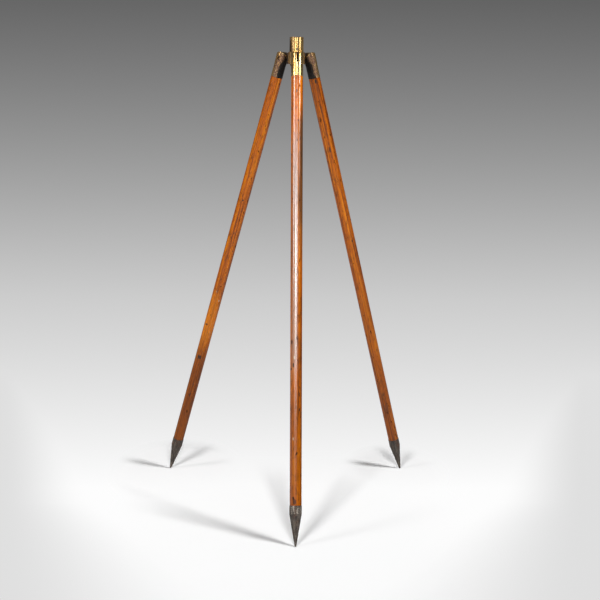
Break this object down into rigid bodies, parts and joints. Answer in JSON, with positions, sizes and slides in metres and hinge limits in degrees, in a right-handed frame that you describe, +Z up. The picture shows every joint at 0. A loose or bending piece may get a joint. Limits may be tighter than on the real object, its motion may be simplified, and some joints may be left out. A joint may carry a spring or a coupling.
{
  "type": "folding field tripod",
  "caption": "Folding field tripod with round wooden poles, brass hinge caps on a brass head with an open instrument socket, and iron ground spikes.",
  "frame": {"origin": "centre of the instrument socket's mouth, on the head's axis", "axes": "+Z up along the socket's axis, -Y towards the front leg, the other two legs at 30 and 150 degrees from +X"},
  "size_m": [0.7166, 0.6233, 1.2937],
  "materials": {
    "polished_brass": "polished, lightly tarnished",
    "dull_brass": "dull, browned with age",
    "aged_brass": "worn bright on the outer side, browned elsewhere",
    "screw_brass": "satin",
    "blued_steel": "dark, satin",
    "varnished_wood": "glossy amber varnish over straight-grained wood",
    "forged_iron": "matte forged surface, worn",
    "iron_nail": "worn matte iron"
  },
  "bodies": {
    "head": {"hub": "dull_brass", "socket_tube": "polished_brass", "hub_locknut": "dull_brass", "socket_set_screw": "blued_steel"},
    "leg_front": {"pole_front": "varnished_wood", "hinge_cap_front": "aged_brass", "hinge_screw_front": "screw_brass", "cap_pin_front": "aged_brass", "spike_front": "forged_iron", "spike_nail_front": "iron_nail"},
    "leg_right": {"pole_right": "varnished_wood", "hinge_cap_right": "aged_brass", "hinge_screw_right": "screw_brass", "cap_pin_right": "aged_brass", "spike_right": "forged_iron", "spike_nail_right": "iron_nail"},
    "leg_left": {"pole_left": "varnished_wood", "hinge_cap_left": "aged_brass", "hinge_screw_left": "screw_brass", "cap_pin_left": "aged_brass", "spike_left": "forged_iron", "spike_nail_left": "iron_nail"}
  },
  "joints": [
    {"name": "fold_front", "type": "hinge", "parent": "head", "child": "leg_front", "pos_m": [0, -0.045, -0.0565], "axis": [1, 0, 0], "range_deg": [0, 17.7]},
    {"name": "fold_right", "type": "hinge", "parent": "head", "child": "leg_right", "pos_m": [0.03897, 0.0225, -0.0565], "axis": [-0.5, 0.866, 0], "range_deg": [0, 17.7]},
    {"name": "fold_left", "type": "hinge", "parent": "head", "child": "leg_left", "pos_m": [-0.03897, 0.0225, -0.0565], "axis": [-0.5, -0.866, 0], "range_deg": [0, 17.7]}
  ]
}
